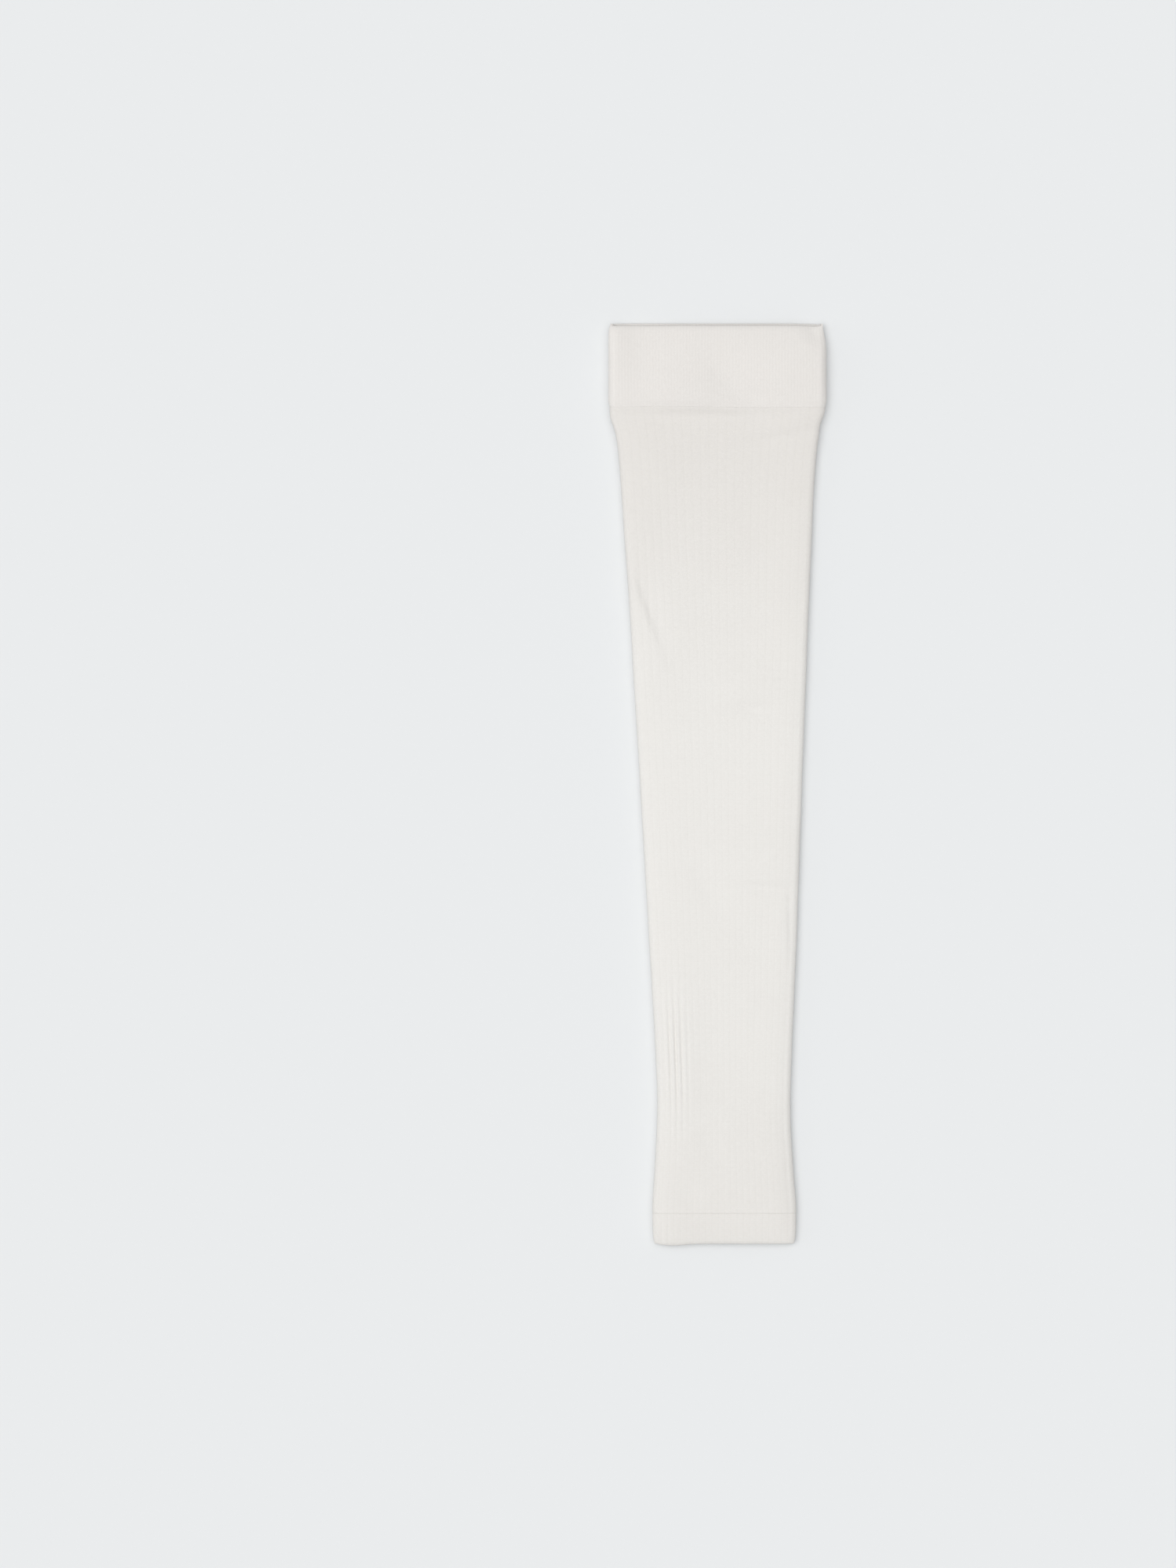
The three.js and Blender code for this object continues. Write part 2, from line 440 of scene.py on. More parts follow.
@dataclass
class Lie:
    """How the sleeve lies: the low hollow that all its pieces are laid round, and its folds.

    Attributes:
        settles: stretch over which the underside comes down from the cuff's thickness to the floor.
        setback: how far the cuff's upper layer stops short of its lower layer.
        setback_reach: how far down the cuff that goes.
        cuff_lip: how the cuff's upper lip comes down.
        hem_lip: how the hem's upper lip comes down.
        ripple: height of the gentle unevenness of the upper face.
        ripple_waves: the waves of that unevenness.
        edge_stray: how far the side edges stray from their line.
        edge_waves: the waves that they stray in.
    """

    settles: tuple[float, float] = (CUFF_DEPTH, 78.0 * MM)
    setback: float = 1.1 * MM
    setback_reach: float = 9.0 * MM
    cuff_lip: Lip = Lip(droop=0.45, droop_reach=9.0 * MM, curl=0.4, curl_length=3.2 * MM)
    hem_lip: Lip = Lip(droop=0.55, droop_reach=9.0 * MM, curl=0.42, curl_length=2.2 * MM)
    ripple: float = 0.14 * MM
    ripple_waves: Waves = Waves(shortest=26 * MM, step=9 * MM, count=9)
    edge_stray: float = 0.12 * MM
    edge_waves: Waves = Waves(shortest=31 * MM, step=17 * MM, count=5)

    def hollow(self, along: np.ndarray) -> Hollow:
        """Cross-sections of the hollow: a flat underside and a crowned upper face with round edges.

        Args:
            along: distances along the sleeve.

        Returns:
            The hollow there.
        """
        rows = np.array([(row.along, row.half_width, row.lean, row.crown) for row in SECTIONS]) * MM
        knots, *columns = rows.T
        half_width, lean, crown = (smooth_row(along, knots, column) for column in columns)
        radius = EDGE_HEIGHT / 2
        floor = TURNED_EDGE + (KNIT - TURNED_EDGE) * ease(along, *self.settles)
        return Hollow(half_width - radius, radius, lean, floor + radius, crown)

    def lip_drop(self, along: np.ndarray, arch: np.ndarray) -> np.ndarray:
        """How far the mouths' upper lips have come down towards their lower lips.

        Args:
            along: distances along the sleeve.
            arch: how much higher the hollow is there than at its edges.

        Returns:
            Drops, nought away from the mouths.
        """
        cuff_room = EDGE_HEIGHT + arch
        hem_room = cuff_room - 2 * (TURNED_EDGE - KNIT)
        cuff_drop = cuff_room * self.cuff_lip.sinking(along)
        hem_drop = hem_room * self.hem_lip.sinking(LENGTH - along)
        return cuff_drop + hem_drop

    def lay(self, share: np.ndarray, along: np.ndarray, depth: np.ndarray) -> np.ndarray:
        """Place points of the knit as they lie.

        Args:
            share: shares round the sleeve.
            along: distances along the sleeve.
            depth: depths out from the hollow.

        Returns:
            An array of places, one row for each point.
        """
        hollow = self.hollow(along)
        flat = hollow.flat
        bend = hollow.radius + KNIT
        quarter = math.pi * bend / 2
        run = share * 4 * (flat + quarter)
        over = np.clip(run - quarter, 0, 2 * flat)
        under = np.clip(run - 3 * quarter - 2 * flat, 0, 2 * flat)
        turned = (
            np.clip(run, 0, quarter)
            + np.clip(run - quarter - 2 * flat, 0, 2 * quarter)
            + np.clip(run - 3 * quarter - 4 * flat, 0, quarter)
        )
        angle = turned / bend
        across = flat - over + under
        upper = np.clip(np.sin(angle), 0, 1)
        arch = hollow.crown * (1 - (across / flat) ** CROWN_POWER)
        rise = arch + self.ripple * self.ripple_waves.height(along, across)
        for fold in FOLDS + CREASES:
            rise = rise + fold.height(across, along)
        rise = rise - self.lip_drop(along, arch)
        stray = self.edge_stray * self.edge_waves.height(along, along)
        x = across + (hollow.radius + depth + stray) * np.cos(angle)
        y = TOP_Y - along - self.setback * upper * np.exp(-along / self.setback_reach)
        for pull in PULLS:
            shift_across, shift_along = pull.shift(across + bend * np.cos(angle), along)
            x = x + shift_across
            y = y - shift_along
        z = hollow.middle + (hollow.radius + depth) * np.sin(angle) + upper * rise
        return np.column_stack((hollow.lean + x, y, z))


@dataclass
class Outline:
    """A closed profile of a wall, drawn as distance along the sleeve against depth.

    Attributes:
        along: distances along the sleeve.
        depth: depths out from the hollow.
        relief: how much of the ribs' depth each point takes.
    """

    along: list[float] = field(default_factory=list)
    depth: list[float] = field(default_factory=list)
    relief: list[float] = field(default_factory=list)

    def start(self, along: float, depth: float) -> "Outline":
        """Put down the first point."""
        return self._point(along, depth, 0.0)

    def line(self, along: float, depth: float, steps: int = 1, relief: float = 0.0) -> "Outline":
        """Draw a straight face from the last point.

        Args:
            along: where it ends along the sleeve.
            depth: depth at its end.
            steps: number of steps it is drawn in.
            relief: share of the ribs' depth that it takes.

        Returns:
            This outline.
        """
        first_along, first_depth = self.along[-1], self.depth[-1]
        for step in range(1, steps + 1):
            share = step / steps
            self._point(
                first_along + (along - first_along) * share,
                first_depth + (depth - first_depth) * share,
                relief,
            )
        return self

    def half_round(self, depth: float, bulge: float, steps: int = 8) -> "Outline":
        """Draw a half-round edge from the last point to another depth.

        Args:
            depth: depth at its end.
            bulge: +1 if it bulges towards the wrist, -1 towards the cuff.
            steps: number of steps it is drawn in.

        Returns:
            This outline.
        """
        centre_along, first_depth = self.along[-1], self.depth[-1]
        radius = abs(depth - first_depth) / 2
        for step in range(1, steps + 1):
            angle = math.pi * step / steps
            self._point(
                centre_along + bulge * radius * math.sin(angle),
                first_depth + (depth - first_depth) * (1 - math.cos(angle)) / 2,
                0.0,
            )
        return self

    def close(self) -> "Outline":
        """Draw back to the first point."""
        return self.line(self.along[0], self.depth[0])

    def _point(self, along: float, depth: float, relief: float) -> "Outline":
        """Add one point.

        Args:
            along: its distance along the sleeve.
            depth: its depth out from the hollow.
            relief: share of the ribs' depth that it takes.

        Returns:
            This outline.
        """
        self.along.append(along)
        self.depth.append(depth)
        self.relief.append(relief)
        return self


@dataclass(frozen=True)
class Knit:
    """A knit's ribs: how wide, how deep and how closely drawn.

    Attributes:
        rib: how many needles each rib takes.
        groove: depth of the groove between two ribs.
        steps_above: columns of points for each rib on the upper face and the edges.
        steps_below: columns of points for each rib on the underside.
        underside: shares round the sleeve between which the underside lies.
        narrow_share: share of a groove's depth in its narrow valley, the rest being the ribs' roundness.
        groove_needles: half width of that valley, in needles.
        crease_needles: half width of a groove that is drawn together, in needles.
        unevenness: how much the ribs' depth varies.
        waves: the waves that it varies in.
    """

    rib: Rib
    groove: float
    steps_above: int
    steps_below: int
    underside: tuple[float, float] = (0.53, 0.97)
    narrow_share: float = 0.75
    groove_needles: float = 0.8
    crease_needles: float = 1.4
    unevenness: float = 0.3
    waves: Waves = Waves(shortest=47 * MM, step=13 * MM, count=5)

    def columns(self) -> np.ndarray:
        """Shares round the sleeve at which a panel has a column of points.

        Returns:
            Rising shares from 0 to 1.
        """
        shares = []
        for rib in range(self.rib.count):
            middle = (rib + 0.5) / self.rib.count
            below = self.underside[0] < middle < self.underside[1]
            steps = self.steps_below if below else self.steps_above
            shares.extend((rib + step / steps) / self.rib.count for step in range(steps))
        return np.array([*shares, 1.0])

    def relief(self, share: np.ndarray) -> np.ndarray:
        """How far the ribs lie in from the knit's outer face.

        Args:
            share: shares round the sleeve.

        Returns:
            Depths below the outer face.
        """
        off_groove = self._off_groove(share)
        rounded = 0.5 + 0.5 * np.cos(2 * math.pi * off_groove)
        narrow = self._valley(off_groove, self.groove_needles)
        return self.groove * (self.narrow_share * narrow + (1 - self.narrow_share) * rounded)

    def crease(self, share: np.ndarray) -> np.ndarray:
        """How much of a gather's depth the knit is drawn in by, from 0 to 1 in each groove."""
        return self._valley(self._off_groove(share), self.crease_needles)

    def _off_groove(self, share: np.ndarray) -> np.ndarray:
        """Distance from the nearest groove, in ribs."""
        return np.abs((share * self.rib.count + 0.5) % 1.0 - 0.5)

    def _valley(self, off_groove: np.ndarray, needles: float) -> np.ndarray:
        """A rounded valley of a half width given in needles."""
        return np.exp(-((off_groove * self.rib.value / needles) ** 2))


class NodeSheet:
    """Short ways to lay out a material's nodes."""

    def __init__(self, tree: bpy.types.NodeTree) -> None:
        """Keep the tree that the nodes go into."""
        self.tree = tree

    def node(self, kind: str) -> bpy.types.Node:
        """Add one node."""
        return self.tree.nodes.new(kind)

    def link(self, source: Socket, target: Socket) -> None:
        """Join two sockets."""
        self.tree.links.new(source, target)

    def feed(self, value: Value, target: Socket) -> None:
        """Give a socket a number, or join another socket to it.

        Args:
            value: the number or the other socket.
            target: the socket that it goes into.
        """
        if isinstance(value, (int, float)):
            target.default_value = value
        else:
            self.link(value, target)

    def place(self, kind: str) -> tuple[Socket, Socket]:
        """Read a place on the piece.

        Args:
            kind: "UV" for its own UV map, or "Object" for its own space.

        Returns:
            The first two coordinates.
        """
        source = self.node("ShaderNodeTexCoord")
        parts = self.node("ShaderNodeSeparateXYZ")
        self.link(source.outputs[kind], parts.inputs["Vector"])
        return parts.outputs["X"], parts.outputs["Y"]

    def math(self, operation: str, first: Value, second: Value = 0.0, third: Value = 0.0) -> Socket:
        """Work out one step of arithmetic.

        Args:
            operation: name of the Math node's operation.
            first: first number or socket.
            second: second number or socket.
            third: third number or socket, where the operation has one.

        Returns:
            The result's socket.
        """
        made = self.node("ShaderNodeMath")
        made.operation = operation
        for value, target in zip((first, second, third), made.inputs):
            self.feed(value, target)
        return made.outputs["Value"]

    def ramp(self, value: Socket, low: float, high: float) -> Socket:
        """Smooth step of a value from 0 at low to 1 at high.

        Args:
            value: the value's socket.
            low: where the step begins.
            high: where the step is complete.

        Returns:
            The step's socket.
        """
        made = self.node("ShaderNodeMapRange")
        made.interpolation_type = "SMOOTHSTEP"
        made.inputs["From Min"].default_value = low
        made.inputs["From Max"].default_value = high
        self.link(value, made.inputs["Value"])
        return made.outputs["Result"]

    def noise(self, scale: float, detail: float) -> Socket:
        """Even noise in the piece's own space.

        Args:
            scale: how fine it is.
            detail: how many finer layers it has.

        Returns:
            The noise's value socket.
        """
        source = self.node("ShaderNodeTexCoord")
        made = self.node("ShaderNodeTexNoise")
        made.inputs["Scale"].default_value = scale
        made.inputs["Detail"].default_value = detail
        self.link(source.outputs["Object"], made.inputs["Vector"])
        return made.outputs["Fac"]

    def mix(self, amount: Socket, first: Socket | Colour, second: Socket | Colour) -> Socket:
        """Mix two colours.

        Args:
            amount: how much of the second colour.
            first: colour at 0.
            second: colour at 1.

        Returns:
            The mixed colour's socket.
        """
        made = self.node("ShaderNodeMix")
        made.data_type = "RGBA"
        self.link(amount, made.inputs["Factor"])
        inputs = [socket for socket in made.inputs if socket.type == "RGBA"]
        for colour, target in zip((first, second), inputs):
            if isinstance(colour, tuple):
                target.default_value = (*colour, 1.0)
            else:
                self.link(colour, target)
        return next(socket for socket in made.outputs if socket.type == "RGBA")


@dataclass(frozen=True)
class KnitFinish:
    """An off-white matt knit.

    Attributes:
        name: the material's name.
        rib: how many needles each rib takes.
        pale: colour of the yarn where the knit is lightest, linear.
        warm: warmer and darker colour towards the sleeve's two ends, linear; towards the cuff its
            darkening is painted shade below the cuff's edge.
        warm_above: places along Y between which it turns warm and darker towards the cuff, as painted
            shade below the cuff's edge.
        warm_below: places along Y between which it turns warm towards the wrist.
        wrist_warmth: how warm it is at the wrist.
        patch_scale: how small the patches of uneven warmth are.
        patch_warmth: how much the warmth varies from patch to patch.
        pit: share of its colour that is left in the painted shade between the loops and in the grooves,
            where it is also a little warmer.
        pit_shade: how much painted shade shows between the loops.
        groove_shade: how much painted shade shows in the grooves between the ribs.
        groove_needles: half width of a groove's painted shade, in needles.
        fibre_scale: how fine the single fibres are.
        fibre_shade: how much the fibres shade it.
        leg_slant: how far a loop's legs slant, in courses.
        loop_depth: depth of the loops' bump.
        loop_bump: strength of the loops' bump.
        roughness: how matt it is.
        gloss: strength of what little it mirrors.
        sheen: strength of the yarn's fuzz.
        sheen_roughness: how soft the fuzz is.
    """

    name: str
    rib: Rib
    pale: Colour
    warm: Colour
    warm_above: tuple[float, float] = (10.0 * MM, 195.0 * MM)
    warm_below: tuple[float, float] = (-130.0 * MM, -215.0 * MM)
    wrist_warmth: float = 0.5
    patch_scale: float = 24.0
    patch_warmth: float = 0.5
    pit: Colour = (0.8, 0.792, 0.776)
    pit_shade: float = 0.3
    groove_shade: float = 0.08
    groove_needles: float = 0.9
    fibre_scale: float = 900.0
    fibre_shade: float = 0.3
    leg_slant: float = 0.6
    loop_depth: float = 0.12 * MM
    loop_bump: float = 0.6
    roughness: float = 0.95
    gloss: float = 0.15
    sheen: float = 0.12
    sheen_roughness: float = 0.55

    def material(self) -> bpy.types.Material:
        """Build the material.

        Returns:
            The material, drawn on the piece's own UV map and in its own space.
        """
        made = bpy.data.materials.new(self.name)
        made.use_nodes = True
        sheet = NodeSheet(made.node_tree)
        shader = made.node_tree.nodes["Principled BSDF"]
        shader.inputs["Roughness"].default_value = self.roughness
        shader.inputs["Specular IOR Level"].default_value = self.gloss
        shader.inputs["Sheen Weight"].default_value = self.sheen
        shader.inputs["Sheen Roughness"].default_value = self.sheen_roughness
        height = self._loops(sheet)
        bump = sheet.node("ShaderNodeBump")
        bump.inputs["Strength"].default_value = self.loop_bump
        bump.inputs["Distance"].default_value = self.loop_depth
        sheet.link(height, bump.inputs["Height"])
        sheet.link(bump.outputs["Normal"], shader.inputs["Normal"])
        sheet.link(self._colour(sheet, height), shader.inputs["Base Color"])
        return made

    def _loops(self, sheet: NodeSheet) -> Socket:
        """Draw the stitches: two slanting legs on each needle, meeting in a V on each course.

        Args:
            sheet: the material's nodes.

        Returns:
            The socket of the stitches' height, from 0 to 1.
        """
        needle, course = sheet.place("UV")
        from_edge = sheet.math("MULTIPLY", sheet.math("PINGPONG", needle, 0.5), 2.0)
        leg = sheet.math("SINE", sheet.math("MULTIPLY", from_edge, math.pi))
        slanted = sheet.math("MULTIPLY_ADD", from_edge, self.leg_slant, course)
        yarn = sheet.math("SINE", sheet.math("MULTIPLY", slanted, 2 * math.pi))
        yarn = sheet.math("MULTIPLY_ADD", yarn, 0.5, 0.5)
        return sheet.math("ADD", sheet.math("MULTIPLY", leg, 0.5), sheet.math("MULTIPLY", yarn, 0.5))

    def _colour(self, sheet: NodeSheet, height: Socket) -> Socket:
        """Colour the knit: warmer and darker towards its ends, which below the cuff is painted shade,
        with painted shade in its grooves and between its loops.

        Args:
            sheet: the material's nodes.
            height: socket of the stitches' height.

        Returns:
            The colour's socket.
        """
        _, y = sheet.place("Object")
        needle, _ = sheet.place("UV")
        # Warmer and darker towards the cuff: the darkening is painted shade below the cuff's edge
        above = sheet.ramp(y, *self.warm_above)
        below = sheet.ramp(sheet.math("MULTIPLY", y, -1.0), *(-edge for edge in self.warm_below))
        warmth = sheet.math("MULTIPLY_ADD", below, self.wrist_warmth, above)
        patches = sheet.noise(self.patch_scale, detail=2.0)
        uneven = sheet.math("MULTIPLY_ADD", patches, self.patch_warmth, -self.patch_warmth / 2)
        warmth = sheet.math("ADD", warmth, uneven)
        face = sheet.mix(warmth, self.pale, self.warm)
        # A darker tone that the painted shade in the grooves and between the loops mixes towards, as the
        # fibres do at random
        deep = sheet.mix(warmth, self._shade_and_fibre_tone(self.pale), self._shade_and_fibre_tone(self.warm))

        # Painted shade in the grooves between the ribs and between the loops
        rib_place = sheet.math("PINGPONG", sheet.math("DIVIDE", needle, float(self.rib.value)), 0.5)
        groove_edge = 0.5 - self.groove_needles / self.rib.value
        groove = sheet.ramp(sheet.math("SUBTRACT", 0.5, rib_place), groove_edge, 0.5)
        grooves = sheet.math("MULTIPLY", groove, self.groove_shade)
        pit_shading = sheet.math("MULTIPLY", sheet.math("SUBTRACT", 1.0, height), self.pit_shade)
        fibres = sheet.math("MULTIPLY", sheet.noise(self.fibre_scale, detail=3.0), self.fibre_shade)
        amount = sheet.math("ADD", grooves, sheet.math("ADD", pit_shading, fibres))
        return sheet.mix(amount, face, deep)

    def _shade_and_fibre_tone(self, colour: Colour) -> Colour:
        """The darker tone of the painted shade between the loops and in the grooves, which the fibres
        also darken towards.
        """
        return tuple(part * share for part, share in zip(colour, self.pit))


@dataclass
class KnitPiece:
    """One piece of knit: a flat panel, rolled round the hollow and welded into a closed wall.

    Attributes:
        lie: how the sleeve lies.
        name: the piece's name.
        node: the CAD node that it stands for.
        slot: name of a material slot, not used.
        knit: its ribs.
        finish: its finish.
    """

    lie: Lie
    name: str
    node: str
    slot: str
    knit: Knit
    finish: KnitFinish

    def outline(self) -> Outline:
        """Profile of the wall."""
        raise NotImplementedError

    def rib_strength(self, share: np.ndarray, along: np.ndarray) -> np.ndarray:
        """How much of their depth the ribs have at places round and along the sleeve."""
        # The same on the upper face and the underside, so that the panel's two ends meet
        from_left = np.abs(share - 0.5) * CUFF_DEPTH
        return 1.0 + self.knit.unevenness * self.knit.waves.height(along, from_left)

    def build(self) -> bpy.types.Object:
        """Model the piece and join it to the frame.

        Returns:
            The finished object.
        """
        outline = self.outline()
        columns = self.knit.columns()
        panel = self._panel(len(columns) - 1, len(outline.along) - 1)
        self._roll(panel, columns, outline)
        self._weld(panel)
        panel.data.materials.append(self.finish.material())
        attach(panel, "root")
        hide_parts(self.node)
        return panel

    def _panel(self, across: int, along: int) -> bpy.types.Object:
        """Add the flat panel.

        Args:
            across: faces across it.
            along: faces along it.

        Returns:
            A grid of one metre, at the origin.
        """
        bpy.ops.object.select_all(action="DESELECT")
        bpy.ops.mesh.primitive_grid_add(x_subdivisions=across, y_subdivisions=along, size=1.0)
        panel = bpy.context.object
        panel.name = self.name
        panel.data.name = self.name
        return panel

    def _roll(self, panel: bpy.types.Object, columns: np.ndarray, outline: Outline) -> None:
        """Lay the panel's points round the hollow, and count its needles and courses on its UV map.

        Args:
            panel: the flat panel.
            columns: shares round the sleeve of its columns.
            outline: profile that its rows follow.
        """
        mesh = panel.data
        alongs = np.array(outline.along)
        depths = np.array(outline.depth)
        reliefs = np.array(outline.relief)
        steps = np.hypot(np.diff(alongs), np.diff(depths))
        courses = np.concatenate(([0.0], np.cumsum(steps))) / COURSE

        flat = np.empty(len(mesh.vertices) * 3)
        mesh.vertices.foreach_get("co", flat)
        flat = flat.reshape(-1, 3)
        column = np.rint((flat[:, 0] + 0.5) * (len(columns) - 1)).astype(int)
        row = np.rint((flat[:, 1] + 0.5) * (len(alongs) - 1)).astype(int)
        share = columns[column]
        along = alongs[row]
        relief = self.knit.relief(share) * reliefs[row] * self.rib_strength(share, along)
        gathered = sum(gather.amount(share, along) for gather in GATHERS)
        places = self.lie.lay(share, along, depths[row] - relief - self.knit.crease(share) * gathered)
        mesh.vertices.foreach_set("co", places.ravel())

        uv = np.empty(len(mesh.loops) * 2)
        mesh.uv_layers.active.data.foreach_get("uv", uv)
        uv = uv.reshape(-1, 2)
        needle = columns[np.rint(uv[:, 0] * (len(columns) - 1)).astype(int)] * NEEDLES
        course = courses[np.rint(uv[:, 1] * (len(alongs) - 1)).astype(int)]
        mesh.uv_layers.active.data.foreach_set("uv", np.column_stack((needle, course)).ravel())
        mesh.update()

    def _weld(self, panel: bpy.types.Object) -> None:
        """Join the panel's meeting edges, turn its faces out and shade it smooth.

        Args:
            panel: the rolled panel.
        """
        bpy.ops.object.mode_set(mode="EDIT")
        bpy.ops.mesh.select_all(action="SELECT")
        bpy.ops.mesh.remove_doubles(threshold=WELD)
        bpy.ops.mesh.normals_make_consistent(inside=False)
        bpy.ops.object.mode_set(mode="OBJECT")
        bpy.ops.object.shade_smooth()


@dataclass
class RibbedTube(KnitPiece):
    """The long tube, one layer of wide-ribbed knit from inside the cuff to the hem.

    Attributes:
        swell: how much thicker the knit is where it comes out of the cuff.
        swell_reach: how far down the sleeve that goes.
        swell_rows: rows of points that it is drawn in.
        ribs_rise: stretch over which the ribs come up to their full depth.
    """

    swell: float = 0.35 * MM
    swell_reach: float = 6.0 * MM
    swell_rows: int = 18
    ribs_rise: tuple[float, float] = (CUFF_DEPTH - 2 * MM, CUFF_DEPTH + 5 * MM)

    def outline(self) -> Outline:
        """Draw the profile of the tube's wall.

        Returns:
            The closed profile.
        """
        edge = KNIT / 2
        out_of_cuff = CUFF_DEPTH + SEAM_GAP
        swollen = 4 * self.swell_reach
        drawn = Outline().start(TUBE_START + edge, KNIT).line(out_of_cuff, KNIT, steps=5)
        for row in range(self.swell_rows + 1):
            along = out_of_cuff + swollen * (row / self.swell_rows) ** 2
            swell = self.swell * math.exp(-(((along - out_of_cuff) / self.swell_reach) ** 2))
            drawn.line(along, KNIT + swell, relief=1.0)
        return (
            drawn
            .line(TUBE_END - 3 * SEAM_ROUND, KNIT, steps=212, relief=1.0)
            .line(TUBE_END - SEAM_ROUND, KNIT, relief=1.0)
            .line(TUBE_END, KNIT - SEAM_ROUND)
            .line(TUBE_END, 0.0, steps=2)
            .line(TUBE_START + edge, 0.0, steps=40)
            .half_round(KNIT, bulge=-1.0)
        )

    def rib_strength(self, share: np.ndarray, along: np.ndarray) -> np.ndarray:
        """The ribs are pressed flat under the cuff."""
        return super().rib_strength(share, along) * ease(along, *self.ribs_rise)

    def flat_size(self) -> tuple[tuple[float, float], float]:
        """Size of the tube's knit laid open.

        Returns:
            Its widest width and its length, and its area.
        """
        along = np.linspace(TUBE_START, TUBE_END, 200)
        girth = self.lie.hollow(along).girth()
        length = TUBE_END - TUBE_START
        return (float(girth.max()), length), float(girth.mean() * length)


@dataclass
class TurnedCuff(KnitPiece):
    """The doubled band at the upper arm, whose outer layer goes on down over the tube's end.

    Attributes:
        edge_thickness: thickness that its outer layer thins to at its lower edge.
        edge_taper: how far in from that edge it begins to thin.
    """

    edge_thickness: float = 0.12 * MM
    edge_taper: float = 3.0 * MM

    def outline(self) -> Outline:
        """Draw the profile of the cuff's wall.

        Returns:
            The closed profile.
        """
        lap_start = TUBE_START - CLEARANCE
        lap_depth = KNIT + CLEARANCE
        thin_depth = lap_depth + self.edge_thickness
        turn = TURNED_EDGE / 2
        edge_end = 4 * turn
        return (
            Outline()
            .start(lap_start, 0.0)
            .line(edge_end, 0.0, steps=12)
            .line(turn - PRESSED_IN, PRESSED_IN, steps=5)
            .half_round(TURNED_EDGE - PRESSED_IN, bulge=-1.0, steps=10)
            .line(edge_end, TURNED_EDGE, steps=7, relief=1.0)
            .line(CUFF_DEPTH - self.edge_taper, TURNED_EDGE, steps=31, relief=1.0)
            .line(CUFF_DEPTH - self.edge_thickness / 2, thin_depth, steps=4, relief=0.7)
            .half_round(lap_depth, bulge=1.0)
            .line(lap_start, lap_depth, steps=5)
            .close()
        )


@dataclass
class TurnedHem(KnitPiece):
    """The band at the wrist, level with the tube outside, whose turned layer runs up inside the tube."""

    def outline(self) -> Outline:
        """Draw the profile of the hem's wall.

        Returns:
            The closed profile.
        """
        start = TUBE_END + SEAM_GAP
        inner = KNIT - TURNED_EDGE
        lap_edge = (-CLEARANCE - inner) / 2
        turn = TURNED_EDGE / 2
        edge_start = LENGTH - 3 * turn
        return (
            Outline()
            .start(start, -CLEARANCE)
            .line(start, KNIT - SEAM_ROUND, steps=3)
            .line(start + SEAM_ROUND, KNIT, relief=1.0)
            .line(start + 3 * SEAM_ROUND, KNIT, relief=1.0)
            .line(edge_start, KNIT, steps=10, relief=1.0)
            .line(LENGTH - turn + PRESSED_IN, KNIT - PRESSED_IN, steps=5, relief=0.8)
            .half_round(inner + PRESSED_IN, bulge=1.0, steps=10)
            .line(edge_start, inner, steps=5)
            .line(HEM_LAP_END + lap_edge, inner, steps=10)
            .half_round(-CLEARANCE, bulge=-1.0)
            .close()
        )


@dataclass(frozen=True)
class FloorFinish:
    """A plain pale matt floor.

    Attributes:
        colour: its colour, linear.
    """

    colour: Colour = (0.788, 0.803, 0.811)

    def material(self) -> bpy.types.Material:
        """Build the material.

        Returns:
            The material, the same all over.
        """
        made = bpy.data.materials.new("pale_floor")
        made.use_nodes = True
        shader = made.node_tree.nodes["Principled BSDF"]
        shader.inputs["Base Color"].default_value = (*self.colour, 1.0)
        shader.inputs["Roughness"].default_value = 1.0
        shader.inputs["Specular IOR Level"].default_value = 0.0
        return made


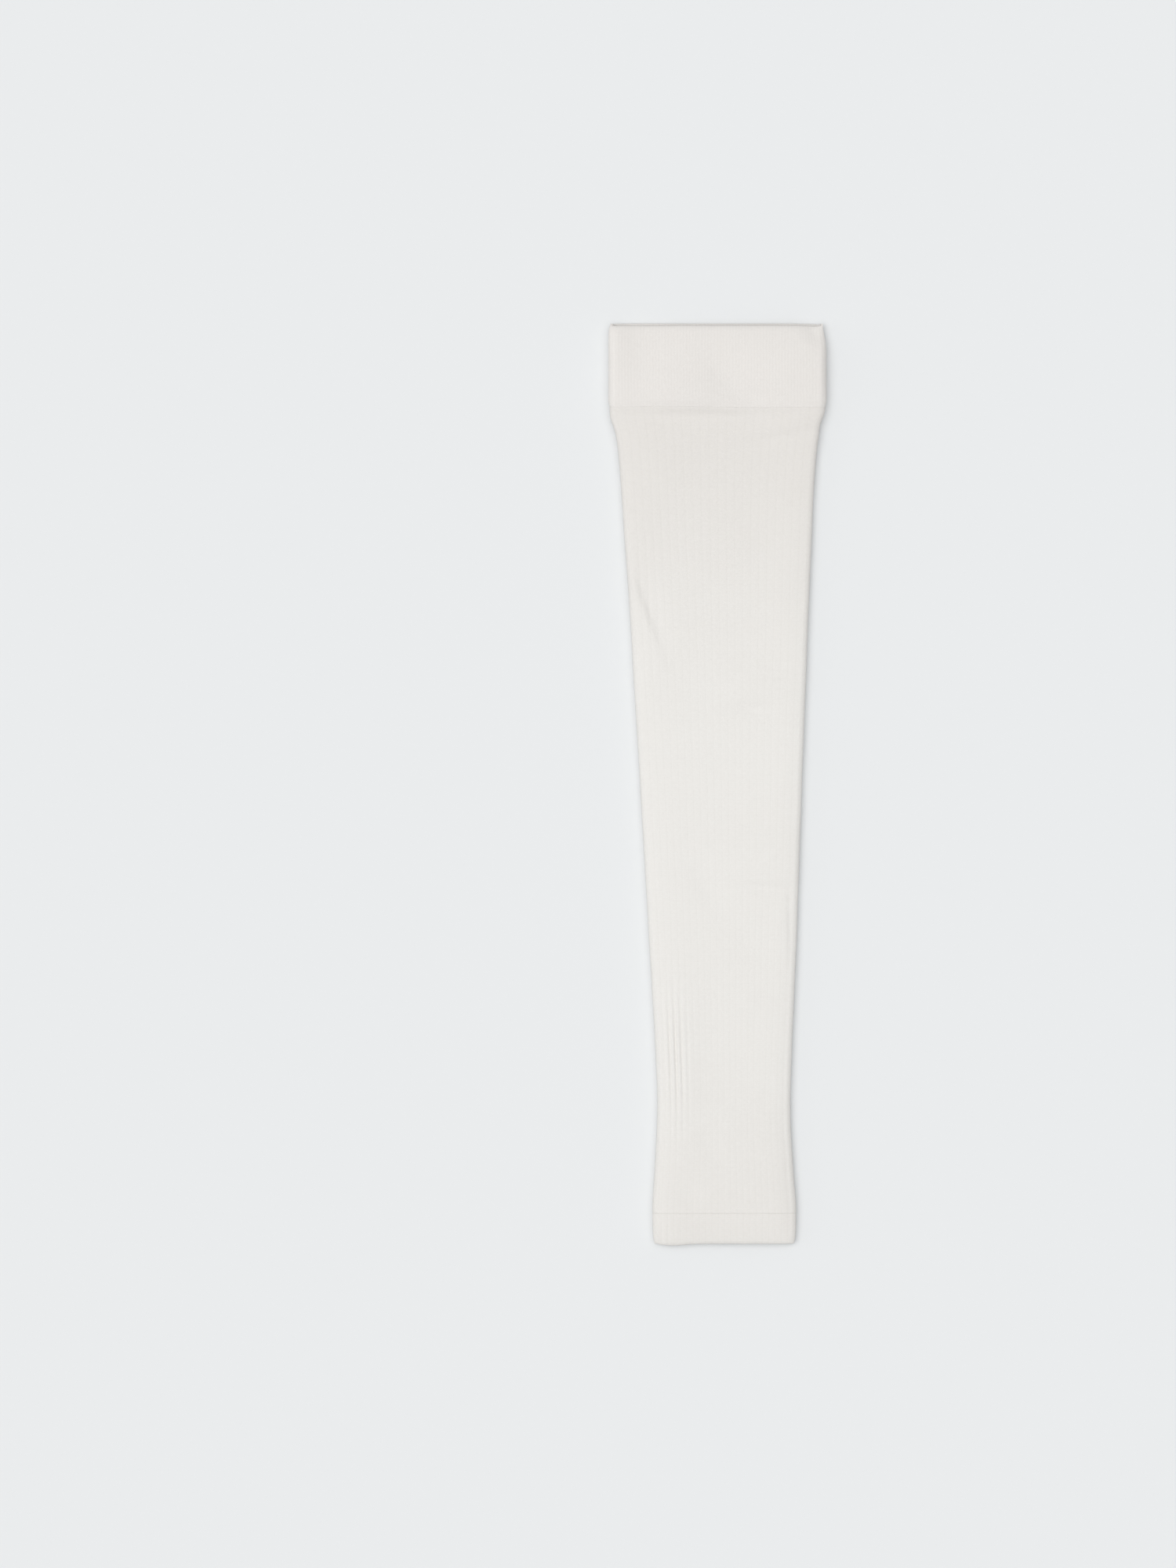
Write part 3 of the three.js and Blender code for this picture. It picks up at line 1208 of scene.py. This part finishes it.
@dataclass
class Studio:
    """The pale floor, soft light and camera.

    Attributes:
        view_height: height of the pictured field.
        view_centre: middle of the pictured field.
        camera_height: height of the camera over the floor.
        floor_size: length of the floor's sides.
        floor_drop: how far the floor lies under the sleeve.
        key_strength: strength of the soft key light from the left.
        key_elevation: height of the key light over the horizon, in degrees.
        key_heading: way to the key light, in degrees from -X towards +Y.
        key_softness: angle that the key light spans, in degrees.
        top_strength: strength of the broad light straight overhead.
        top_softness: angle that the overhead light spans, in degrees.
        fill_strength: strength of the low light from the left.
        fill_elevation: height of the low light over the horizon, in degrees.
        fill_softness: angle that the low light spans, in degrees.
        sky_strength: strength of the even light from all round.
        finish: the floor's finish.
    """

    view_height: float = 733.2 * MM
    view_centre: tuple[float, float] = (-60.45 * MM, -0.2 * MM)
    camera_height: float = 2.5
    floor_size: float = 8.0
    floor_drop: float = 0.1 * MM
    key_strength: float = 0.88
    key_elevation: float = 72.0
    key_heading: float = 4.0
    key_softness: float = 56.0
    top_strength: float = 1.2
    top_softness: float = 80.0
    fill_strength: float = 0.25
    fill_elevation: float = 20.0
    fill_softness: float = 40.0
    sky_strength: float = 0.37
    finish: FloorFinish = FloorFinish()

    def build(self) -> None:
        """Set up the floor, the lights and the camera."""
        self._floor()
        self._lamp("key", self.key_strength, self.key_softness, self.key_elevation)
        self._lamp("top", self.top_strength, self.top_softness, elevation=90.0)
        self._lamp("fill", self.fill_strength, self.fill_softness, self.fill_elevation)
        self._sky()
        self._camera()
        bpy.context.scene.view_settings.view_transform = "Standard"

    def _floor(self) -> None:
        """Lay the floor just under the sleeve."""
        bpy.ops.object.select_all(action="DESELECT")
        bpy.ops.mesh.primitive_plane_add(size=self.floor_size, location=(0.0, 0.0, -self.floor_drop))
        floor = bpy.context.object
        floor.name = "floor"
        floor.data.materials.append(self.finish.material())

    def _lamp(self, name: str, strength: float, softness: float, elevation: float) -> None:
        """Hang a soft far light on the key light's side.

        Args:
            name: the light's name.
            strength: its strength.
            softness: angle that it spans, in degrees.
            elevation: its height over the horizon, in degrees.
        """
        light = bpy.data.lights.new(name, "SUN")
        light.energy = strength
        light.angle = math.radians(softness)
        lamp = bpy.data.objects.new(name, light)
        lamp.rotation_euler = (0.0, math.radians(elevation - 90.0), math.radians(-self.key_heading))
        bpy.context.scene.collection.objects.link(lamp)

    def _sky(self) -> None:
        """Light the scene evenly from all round."""
        sky = bpy.data.worlds.new("sky")
        sky.use_nodes = True
        background = sky.node_tree.nodes["Background"]
        background.inputs["Color"].default_value = (1.0, 1.0, 1.0, 1.0)
        background.inputs["Strength"].default_value = self.sky_strength
        bpy.context.scene.world = sky

    def _camera(self) -> None:
        """Look straight down at the floor."""
        eye = bpy.data.cameras.new("camera")
        eye.lens = eye.sensor_width * self.camera_height / self.view_height
        eye.clip_end = 100.0
        camera = bpy.data.objects.new("camera", eye)
        camera.location = (*self.view_centre, self.camera_height)
        bpy.context.scene.collection.objects.link(camera)
        bpy.context.scene.camera = camera


def main() -> None:
    logging.basicConfig(level=logging.INFO, format="%(name)s: %(message)s")
    wide = Knit(Rib.WIDE, groove=0.027 * MM, steps_above=8, steps_below=4)
    fine = Knit(Rib.FINE, groove=0.05 * MM, steps_above=6, steps_below=2)
    tube_knit = KnitFinish("tube_knit", Rib.WIDE, PALE, WARM)
    cuff_knit = KnitFinish("cuff_knit", Rib.FINE, CUFF_TONE, CUFF_TONE)
    hem_knit = KnitFinish("hem_knit", Rib.WIDE, PALE, WARM)
    lie = Lie()
    Studio().build()
    tube = RibbedTube(lie, "ribbed_tube", "sleeve_body", "body_knit", wide, tube_knit)
    cuff = TurnedCuff(lie, "turned_cuff", "upper_cuff", "cuff_knit", fine, cuff_knit)
    hem = TurnedHem(lie, "turned_hem", "wrist_hem", "hem_knit", wide, hem_knit)
    for piece in (tube, cuff, hem):
        piece.build()
    flat, area = tube.flat_size()
    LOG.info("tube knit laid open: %.4f by %.4f m, %.5f square metres", *flat, area)


if __name__ == "__main__":
    main()
